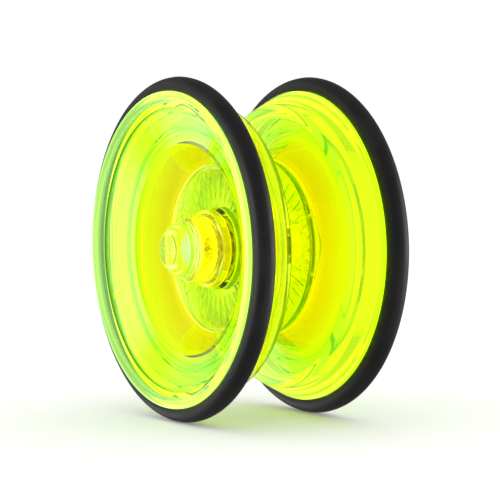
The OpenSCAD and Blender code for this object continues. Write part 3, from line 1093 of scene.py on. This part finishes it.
@dataclass
class Piece:
    """A piece of one half that is rebuilt finer than its CAD node."""

    side: Side
    stem: ClassVar[str]
    form: ClassVar[str] = "moulding"
    finish: ClassVar[Finish]

    def __post_init__(self) -> None:
        """Measures the piece's own node."""
        self.node = self.side.node(self.stem)
        self.label = f"{self.node}_{self.form}"
        self.whole = Reach.of(self.node)

    def mesh(self) -> bpy.types.Mesh:
        """Makes the piece's mesh, drawn along +Z."""
        raise NotImplementedError

    def build(self) -> bpy.types.Object:
        """Makes, dresses and places the piece."""
        mesh = shaded(laid(self.mesh(), self.side))
        return placed(self.label, mesh, self.side.body, self.finish, [self.node])


@dataclass
class Shell(Piece):
    """A half's outer shell: gap wall, tyre groove, rim bead, dish seat and the boss that holds the nut."""

    stem = "shell"
    finish = SHELL_PLASTIC
    segments: int = 360
    hub_face_r: float = 10.4
    crest_r: float = 30.95
    crest_z: float = 7.08
    lip_z: float = 13.45
    bead_w: float = 1.9
    bead_round: float = 0.6
    lip_round: float = 0.12
    floor_wall: float = 2.3
    seat_ledge: float = 0.9
    seat_z: float = 15.6
    inner_floor_z: float = 5.9
    inner_floor_r: float = 19.235
    boss_wall: float = 1.3
    fit: float = 0.05
    air: float = 0.04
    squeeze: float = 0.03
    seam_step: float = 0.55
    axle_room: float = 0.2
    bearing_room: float = 0.45
    bearing_space: float = 0.3
    spacer_foot_r: float = 4.3
    pad_proud: float = 0.1
    wall_turn: float = 2.2
    seat_wall_rise: float = 5.1
    bead_lean: float = 0.3
    bead_foot: float = 0.9
    boss_lip: float = 0.3
    groove_steps: int = 24

    def __post_init__(self) -> None:
        """Measures the shell and the pieces that it holds."""
        super().__post_init__()
        stems = ("tyre", "dish", "pad", "nut", "spacer")
        self.tyre, self.dish, self.pad, self.nut, self.spacer = (Reach.of(self.side.node(s)) for s in stems)
        self.axle, self.bearing = Reach.of("axle"), Reach.of("bearing_outer_race")

    def groove(self) -> list[Corner]:
        """Works out the tyre's groove.

        Returns:
            Points along the groove from its lip by the gap to its lip by the rim.
        """
        half = (self.tyre.far - self.tyre.near) / 2 + self.fit
        middle = Vector((self.tyre.radius - half + self.fit, (self.tyre.far + self.tyre.near) / 2))
        open_half = math.acos((self.whole.radius - middle.x) / half)
        steps = self.groove_steps
        turns = [open_half + (2 * math.pi - 2 * open_half) * i / steps for i in range(steps + 1)]
        arc = [Corner(middle.x + half * math.cos(a), middle.y - half * math.sin(a)) for a in turns]
        arc[0], arc[-1] = (replace(arc[end], round=self.lip_round) for end in (0, -1))
        return arc

    def profile(self) -> list[Corner]:
        """Works out the shell's profile.

        Returns:
            Its corners, from the axle hole round the outside and back.
        """
        rim_r, rim_z = self.whole.radius, self.whole.far
        bead_r = rim_r - self.bead_w
        dish_r = self.dish.radius + self.fit
        gap_z = self.pad.near + self.pad_proud
        slope = (self.crest_z - gap_z) / (self.crest_r - self.hub_face_r)
        turn_r = self.crest_r - self.wall_turn
        turn_z = gap_z + (turn_r - self.hub_face_r) * slope + self.floor_wall
        spacer_r = self.spacer_foot_r + self.fit
        bearing_z = self.bearing.far + self.bearing_space
        bearing_r = self.bearing.radius + self.bearing_room
        nut_r = self.nut.radius + self.fit
        boss_r = nut_r + self.boss_wall
        hole_r = self.axle.radius + self.axle_room
        boss_z = self.axle.far + self.boss_lip
        pad_in, pad_out = PAD_INNER_R - self.fit, self.pad.radius + self.fit
        spacer_z, pad_z, nut_z = self.spacer.far + self.air, self.pad.far + self.air, self.nut.near - self.air
        seat_z, floor_z = self.seat_z + self.squeeze, self.inner_floor_z + self.squeeze
        bead_foot_z, seam_z = self.dish.far + self.bead_foot, self.dish.far + self.seam_step
        ledge_r = dish_r - self.seat_ledge
        return [
            Corner(hole_r, spacer_z), Corner(spacer_r, spacer_z), Corner(spacer_r, bearing_z),
            Corner(bearing_r, bearing_z, 0.15), Corner(bearing_r, gap_z, 0.1),
            Corner(pad_in, gap_z, 0.1), Corner(pad_in, pad_z), Corner(pad_out, pad_z),
            Corner(pad_out, gap_z, 0.12), Corner(self.hub_face_r, gap_z, 3.0),
            Corner(self.crest_r, self.crest_z, 2.0), Corner(rim_r, self.lip_z, 0.35),
            *self.groove(),
            Corner(rim_r, rim_z, self.bead_round), Corner(bead_r, rim_z, self.bead_round),
            Corner(bead_r - self.bead_lean, bead_foot_z, 0.2), Corner(dish_r, seam_z, 0.06),
            Corner(dish_r, seat_z), Corner(ledge_r, seat_z),
            Corner(ledge_r, self.crest_z + self.seat_wall_rise, 1.0), Corner(turn_r, turn_z, 1.5),
            Corner(self.inner_floor_r, floor_z, 0.6), Corner(boss_r, floor_z, 0.35),
            Corner(boss_r, boss_z, 0.3),
            Corner(nut_r, boss_z, hexagon=True), Corner(nut_r, nut_z, hexagon=True),
            Corner(hole_r, nut_z),
        ]

    def mesh(self) -> bpy.types.Mesh:
        """Turns the shell."""
        return turned(self.label, self.profile(), self.segments)


@dataclass
class Dish(Piece):
    """A half's snap-in side dish: shallow ledge, deep cup, ribbed floor and stiffening skirt."""

    stem = "dish"
    finish = DISH_PLASTIC
    segments: int = 432
    mouth_r: float = 23.0
    mouth_z: float = 15.0
    floor_r: float = 18.0
    floor_wall: float = 1.7
    floor_lift: float = 0.4
    hole_r: float = 9.0
    cup_wall: float = 1.9
    ledge_wall: float = 2.2
    skirt_out: float = 4.0
    skirt_wall: float = 1.4
    skirt_drop: float = 2.7
    edge_wall: float = 2.4
    seat_run: float = 1.25
    ledge_rows: int = 2
    cup_rows: int = 10
    rib_count: int = 36
    rib_height: float = 0.05
    rib_start: float = 1.6
    rib_end: float = 1.8
    notch_angles: tuple[float, float] = (114.0, 203.0)
    notch_half: float = 0.7
    notch_depth: float = 0.5
    notch_reach: float = 0.6
    notch_start: float = 0.9

    def profile(self) -> list[Corner]:
        """Works out the dish's profile.

        Returns:
            Its corners, from its outer edge across the cup and back underneath.
        """
        edge_r, top_z, foot_z = self.whole.radius, self.whole.far, self.whole.near
        floor_z = foot_z + self.floor_wall
        slope = (top_z - self.mouth_z) / (edge_r - self.mouth_r)
        lean = (self.mouth_r - self.floor_r) / (self.mouth_z - floor_z - self.floor_lift)
        shift = self.cup_wall * math.hypot(1, lean)
        foot_r = self.floor_r + shift - (self.floor_wall + self.floor_lift) * lean
        turn_r = self.mouth_r + shift - (self.ledge_wall + self.mouth_r * slope) * lean
        turn_r /= 1 - slope * lean
        skirt_r = self.mouth_r + self.skirt_out
        skirt_in, skirt_z = skirt_r - self.skirt_wall, self.mouth_z - self.skirt_drop
        seat_z = top_z - self.edge_wall

        def under(r: float) -> float:
            """Height of the ledge's underside at a radius."""
            return self.mouth_z + (r - self.mouth_r) * slope - self.ledge_wall

        return [
            Corner(edge_r, top_z, 0.15), Corner(edge_r - self.notch_reach, top_z - self.notch_reach * slope),
            Corner(self.mouth_r, self.mouth_z, 0.8, rows=self.ledge_rows),
            Corner(self.floor_r, floor_z + self.floor_lift, 1.5, rows=self.cup_rows),
            Corner(self.hole_r, floor_z, 0.2), Corner(self.hole_r, foot_z, 0.2), Corner(foot_r, foot_z, 1.0),
            Corner(turn_r, under(turn_r), 0.6), Corner(skirt_in, under(skirt_in), 0.3),
            Corner(skirt_in, skirt_z, 0.3), Corner(skirt_r, skirt_z, 0.3),
            Corner(skirt_r, under(skirt_r), 0.3),
            Corner(edge_r - self.seat_run, seat_z, 0.2), Corner(edge_r, seat_z, 0.15),
        ]

    def notch(self, mesh: bpy.types.Mesh) -> None:
        """Presses the two small pry notches into the dish's edge.

        Args:
            mesh: The dish, drawn along +Z, changed in place.
        """
        place = np.empty(len(mesh.vertices) * 3)
        mesh.vertices.foreach_get("co", place)
        place = place.reshape(-1, 3)
        x, y, z = place.T / MM
        radius = np.hypot(x, y)
        outside = radius > self.whole.radius - self.notch_start * self.notch_reach
        at_edge = outside & (z > self.whole.far - self.notch_reach)
        for angle in np.radians(self.notch_angles):
            along = radius * np.abs((np.arctan2(y, x) - angle + math.pi) % (2 * math.pi) - math.pi)
            share = np.clip(1 - along / self.notch_half, 0, 1) * at_edge
            place[:, 2] -= share * self.notch_depth * MM
        mesh.vertices.foreach_set("co", place.ravel())

    def mesh(self) -> bpy.types.Mesh:
        """Turns, ribs and notches the dish.

        Returns:
            The mesh, drawn along +Z.
        """
        ribs = raised_ribs(self.rib_count, self.rib_height, self.hole_r + self.rib_start,
                           self.floor_r - self.rib_end, self.whole.near + self.floor_wall / 2)
        mesh = ribs.apply(turned(self.label, self.profile(), self.segments), self.finish)
        self.notch(mesh)
        return mesh


@dataclass
class HubCap(Piece):
    """A half's hub cap: flange, grained barrel, three fine rings and a polished clear nose."""

    stem = "hub_cap"
    finish = CAP_PLASTIC
    segments: int = 360
    flange_z: float = 8.3
    flange_h: float = 1.9
    bore_r: float = 5.44
    bore_z: float = 10.55
    room_r: float = 3.0
    room_z: float = 13.1
    skirt_r: float = 7.2
    barrel_r: float = 7.3
    barrel_lean: float = 0.35
    barrel_foot: float = 0.4
    barrel_rows: int = 30
    steps: int = 3
    steps_drop: float = 4.8
    step_h: float = 0.7
    step_in: float = 0.3
    step_foot: float = 0.1
    neck_rise: float = 0.2
    grain: float = 0.11
    grain_start: float = 0.5
    grain_clear: float = 0.6
    nose_r: float = 5.1
    nose_drop: float = 1.3
    tip_r: float = 3.4
    dimple_r: float = 1.2
    dimple_floor_r: float = 0.9
    dimple_depth: float = 0.3
    dimple_middle: float = 0.35

    def profile(self) -> list[Corner]:
        """Works out the cap's profile.

        Returns:
            Its corners, from the axle's room inside, down the bore, up the outside and back to the axle.
        """
        flange_r, flange_top, tip_z = self.whole.radius, self.flange_z + self.flange_h, self.whole.far
        steps_z = tip_z - self.steps_drop
        neck_r = self.barrel_r - self.barrel_lean
        rings = []
        for k in range(self.steps):
            ring_r = neck_r - (k + 1) * self.step_in
            rings += [Corner(ring_r, steps_z + k * self.step_h + self.step_foot, 0.05),
                      Corner(ring_r, steps_z + (k + 1) * self.step_h, 0.15)]
        rings[-1] = replace(rings[-1], z=rings[-1].z + self.neck_rise, round=0.5)
        return [
            Corner(0, self.room_z), Corner(self.room_r, self.room_z, 0.3),
            Corner(self.room_r, self.bore_z, 0.1), Corner(self.bore_r, self.bore_z, 0.2),
            Corner(self.bore_r, self.whole.near),
            Corner(self.skirt_r, self.whole.near), Corner(self.skirt_r, self.flange_z, 0.2),
            Corner(flange_r, self.flange_z, 0.35), Corner(flange_r, flange_top, 0.5),
            Corner(self.barrel_r, flange_top + self.barrel_foot, 0.3, rows=self.barrel_rows),
            Corner(neck_r, steps_z, 0.25), *rings,
            Corner(self.nose_r, tip_z - self.nose_drop, 0.5), Corner(self.tip_r, tip_z, 0.6),
            Corner(self.dimple_r, tip_z, 0.1), Corner(self.dimple_floor_r, tip_z - self.dimple_depth, 0.1),
            Corner(0, tip_z - self.dimple_middle),
        ]

    def mesh(self) -> bpy.types.Mesh:
        """Turns and grains the cap."""
        grain = eroded_grain(self.flange_z + self.flange_h + self.grain_start,
                             self.whole.far - self.steps_drop, self.bore_r + self.grain_clear, self.grain)
        return grain.apply(turned(self.label, self.profile(), self.segments, closed=False), self.finish)


@dataclass
class Tyre(Piece):
    """A half's rubber tyre."""

    stem = "tyre"
    form = "ring"
    finish = TYRE_RUBBER
    flash: float = 0.03

    def mesh(self) -> bpy.types.Mesh:
        """Sweeps the tyre.

        Returns:
            The mesh, drawn along +Z.
        """
        thickness, middle = self.whole.far - self.whole.near, (self.whole.near + self.whole.far) / 2
        sweep = swept_ring(self.whole.radius - thickness / 2 - self.flash, middle, thickness, self.flash)
        return sweep.apply(bpy.data.meshes.new(self.label), self.finish)


@dataclass
class Pad(Piece):
    """A half's silicone response pad, with softened edges."""

    stem = "pad"
    form = "ring"
    finish = PAD_RUBBER
    segments: int = 180
    softness: float = 0.2
    back_softness: float = 0.05

    def mesh(self) -> bpy.types.Mesh:
        """Turns the pad.

        Returns:
            The mesh, drawn along +Z.
        """
        radius, near, far = self.whole.radius, self.whole.near, self.whole.far
        profile = [Corner(PAD_INNER_R, near, self.softness), Corner(radius, near, self.softness),
                   Corner(radius, far, self.back_softness), Corner(PAD_INNER_R, far, self.back_softness)]
        return turned(self.label, profile, self.segments)


@dataclass
class Axle:
    """The threaded axle, with a hexagon socket in each end."""

    segments: int = 72
    pitch: float = 0.7
    thread_depth: float = 0.36
    socket_r: float = 1.155
    socket_depth: float = 1.6
    chamfer: float = 0.35
    rows_per_pitch: int = 8
    socket_cone: float = 0.3
    thread_clear: float = 0.4

    def build(self) -> bpy.types.Object:
        """Turns, threads, dresses and places the axle.

        Returns:
            The piece.
        """
        reach = Reach.of("axle")
        half, neck_r = reach.far, reach.radius - self.chamfer
        straight, socket_z = half - self.chamfer, half - self.socket_depth
        rows = round(2 * straight / self.pitch * self.rows_per_pitch)
        end = [Corner(reach.radius, straight), Corner(neck_r, half),
               Corner(self.socket_r, half, hexagon=True), Corner(self.socket_r, socket_z, hexagon=True),
               Corner(0, socket_z - self.socket_cone)]
        start = [replace(corner, z=-corner.z) for corner in reversed(end)]
        profile = [*start[:-1], replace(start[-1], rows=rows), *end]
        thread = screw_thread(self.pitch, self.thread_depth, self.socket_r + self.thread_clear,
                              straight - self.pitch, self.pitch)
        mesh = thread.apply(turned("axle_rod", profile, self.segments, closed=False), AXLE_STEEL)
        return placed("axle_rod", shaded(laid(mesh, Side.REAR)), "spindle", AXLE_STEEL, ["axle"])


@dataclass
class Hardware:
    """The small metal and nylon pieces that keep their CAD shape and get a real finish."""

    def build(self) -> None:
        """Dresses each of them."""
        pairs = {"nut": NUT_BRASS, "spacer": SPACER_ALUMINIUM, "shim": SHIM_NYLON, "shield": BEARING_STEEL,
                 "snap_ring": BEARING_STEEL}
        finishes = {side.node(stem): finish for side in Side for stem, finish in pairs.items()}
        finishes |= {"bearing_outer_race": BEARING_STEEL, "bearing_inner_race": BEARING_STEEL,
                     "bearing_balls": BEARING_STEEL, "bearing_cage": CAGE_BRASS}
        for name, finish in finishes.items():
            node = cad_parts[name]
            node.data.materials.clear()
            node.data.materials.append(finish.material())
            log.info("%s: dressed in %s", name, finish.name)


# --------------------------------------------------------------------------- studio

@dataclass(frozen=True)
class Softbox:
    """A softbox far away, by its place in the sky and its brightness.

    It is mirrored with a soft edge, and unless its lamp share is zero a lamp casts its light.
    """

    azimuth_deg: float
    elevation_deg: float
    radiance: float
    core_deg: float = 9.0
    edge_deg: float = 24.0
    lamp_share: float = 0.7
    away: float = 0.75
    size: float = 0.34

    @property
    def way(self) -> Vector:
        """The direction in which it stands."""
        a, e = math.radians(self.azimuth_deg), math.radians(self.elevation_deg)
        return Vector((math.sin(a) * math.cos(e), -math.cos(a) * math.cos(e), math.sin(e)))

    def mirrored(self, w: Wiring, direction: bpy.types.NodeSocket) -> bpy.types.NodeSocket:
        """Adds the softbox to the surroundings that glossy faces mirror.

        Args:
            w: The wiring of the surroundings.
            direction: The direction looked in.

        Returns:
            Its brightness in that direction.
        """
        sockets = {0: direction, 1: self.way}
        near = w.node("ShaderNodeVectorMath", sockets, operation="DOT_PRODUCT").outputs["Value"]
        edge, core = math.cos(math.radians(self.edge_deg)), math.cos(math.radians(self.core_deg))
        return w.ramp(near, edge, core, 0.0, self.radiance)

    def lamp(self) -> None:
        """Adds the lamp."""
        light = bpy.data.lights.new("Softbox", "AREA")
        light.size = self.size
        light.energy = self.lamp_share * self.radiance * math.pi * self.size ** 2
        lamp = bpy.data.objects.new("Softbox", light)
        lamp.location = self.way * self.away
        lamp.rotation_euler = (-self.way).to_track_quat("-Z", "Y").to_euler()
        lamp.visible_camera = lamp.visible_transmission = lamp.visible_glossy = False
        bpy.context.scene.collection.objects.link(lamp)


@dataclass
class Studio:
    """A pale floor, soft light all round, six softboxes and the camera."""

    azimuth_deg: float = 58.65
    elevation_deg: float = 3.41
    lens_mm: float = 179.26
    sensor_mm: float = 36.0
    distance: float = 0.54864
    aside: float = 0.0011585
    below: float = 0.0005712
    floor_span: float = 6.0
    paper: Colour = (0.93, 0.93, 0.92)
    fibre_scale: float = 900.0
    fibre_tone: float = 0.99
    paper_shader: tuple[tuple[str, float], ...] = (
        ("Roughness", 0.9), ("Specular IOR Level", 0.1), ("Emission Strength", 0.15))
    light_bounces: int = 24
    sky: float = 1.02
    mirrored_sky: float = 0.24
    softboxes: tuple[Softbox, ...] = (
        Softbox(-18.0, 0.0, 2.8, core_deg=10.0, edge_deg=32.0),
        Softbox(162.0, 0.0, 2.8, core_deg=10.0, edge_deg=32.0),
        Softbox(-72.0, -22.0, 1.3, core_deg=6.0, edge_deg=20.0, lamp_share=0.0),
        Softbox(-72.0, 20.0, 0.5, core_deg=6.0, edge_deg=20.0),
        Softbox(108.0, -22.0, 1.3, core_deg=6.0, edge_deg=20.0, lamp_share=0.0),
        Softbox(108.0, 20.0, 0.5, core_deg=6.0, edge_deg=20.0),
    )

    def camera(self) -> None:
        """Adds the camera."""
        a, e = math.radians(self.azimuth_deg), math.radians(self.elevation_deg)
        ahead = Vector((-math.sin(a) * math.cos(e), math.cos(a) * math.cos(e), -math.sin(e)))
        right = Vector((math.cos(a), math.sin(a), 0.0))
        up = right.cross(ahead)
        lens = bpy.data.cameras.new("Camera")
        lens.lens, lens.sensor_width, lens.clip_start = self.lens_mm, self.sensor_mm, 0.01
        camera = bpy.data.objects.new("Camera", lens)
        bpy.context.scene.collection.objects.link(camera)
        turn = Matrix((right, up, -ahead)).transposed().to_4x4()
        turn.translation = right * self.aside - up * self.below - ahead * self.distance
        camera.matrix_world = turn
        bpy.context.scene.camera = camera

    def floor(self) -> None:
        """Adds the floor that the tyres stand on."""
        low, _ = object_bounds()
        half = self.floor_span / 2
        mesh = bpy.data.meshes.new("floor")
        corners = [(x * half, y * half, low.z) for x, y in ((-1, -1), (1, -1), (1, 1), (-1, 1))]
        mesh.from_pydata(corners, [], [(0, 1, 2, 3)])
        floor = bpy.data.objects.new("floor", mesh)
        bpy.context.scene.collection.objects.link(floor)
        material = bpy.data.materials.new("Floor paper")
        material.use_nodes = True
        w = Wiring(material.node_tree)
        place = w.node("ShaderNodeTexCoord").outputs["Object"]
        fibre = w.noise(place, self.fibre_scale, 4.0)
        sockets = material.node_tree.nodes["Principled BSDF"].inputs
        tone = w.mix(fibre, rgba(self.paper), rgba(tuple(c * self.fibre_tone for c in self.paper)))
        w.link({"Base Color": tone}, sockets)
        sockets["Emission Color"].default_value = rgba(self.paper)
        for name, value in self.paper_shader:
            sockets[name].default_value = value
        mesh.materials.append(material)
        floor.visible_glossy = False
        floor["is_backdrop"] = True

    @staticmethod
    def mirrored(w: Wiring) -> bpy.types.NodeSocket:
        """Tells what is seen in a mirror from what is seen directly or through clear plastic.

        Args:
            w: The wiring of the surroundings.

        Returns:
            One for what is mirrored, and otherwise zero.
        """
        path = w.node("ShaderNodeLightPath").outputs
        return w.math("MULTIPLY", path["Is Reflection Ray"], path["Is Glossy Ray"])

    def light(self) -> None:
        """Adds the softboxes and the even white surroundings, dimmer where they are only mirrored."""
        world = bpy.data.worlds.new("Studio")
        world.use_nodes = True
        bpy.context.scene.world = world
        w = Wiring(world.node_tree)
        direction = w.node("ShaderNodeTexCoord").outputs["Generated"]
        mirrored_sky: Any = self.mirrored_sky
        for softbox in self.softboxes:
            mirrored_sky = w.math("ADD", mirrored_sky, softbox.mirrored(w, direction))
            if softbox.lamp_share > 0:
                softbox.lamp()
        strength = w.node("ShaderNodeMix", {0: self.mirrored(w), 2: self.sky, 3: mirrored_sky},
                          data_type="FLOAT").outputs[0]
        background = world.node_tree.nodes["Background"].inputs
        background["Color"].default_value = rgba(WHITE)
        w.link({"Strength": strength}, background)

    def build(self) -> None:
        """Sets up the studio, with colours shown as they are and light let through many clear walls."""
        self.camera()
        self.floor()
        self.light()
        scene = bpy.context.scene
        scene.view_settings.view_transform = "Standard"
        scene.cycles.max_bounces = scene.cycles.transmission_bounces = self.light_bounces
        log.info("studio ready")


def main() -> None:
    """Builds every sub-assembly in order, then the studio."""
    logging.basicConfig(level=logging.INFO, format="%(message)s")
    for side in Side:
        for part in (Shell, Dish, HubCap, Tyre, Pad):
            part(side).build()
    Axle().build()
    Hardware().build()
    Studio().build()


if __name__ == "__main__":
    main()
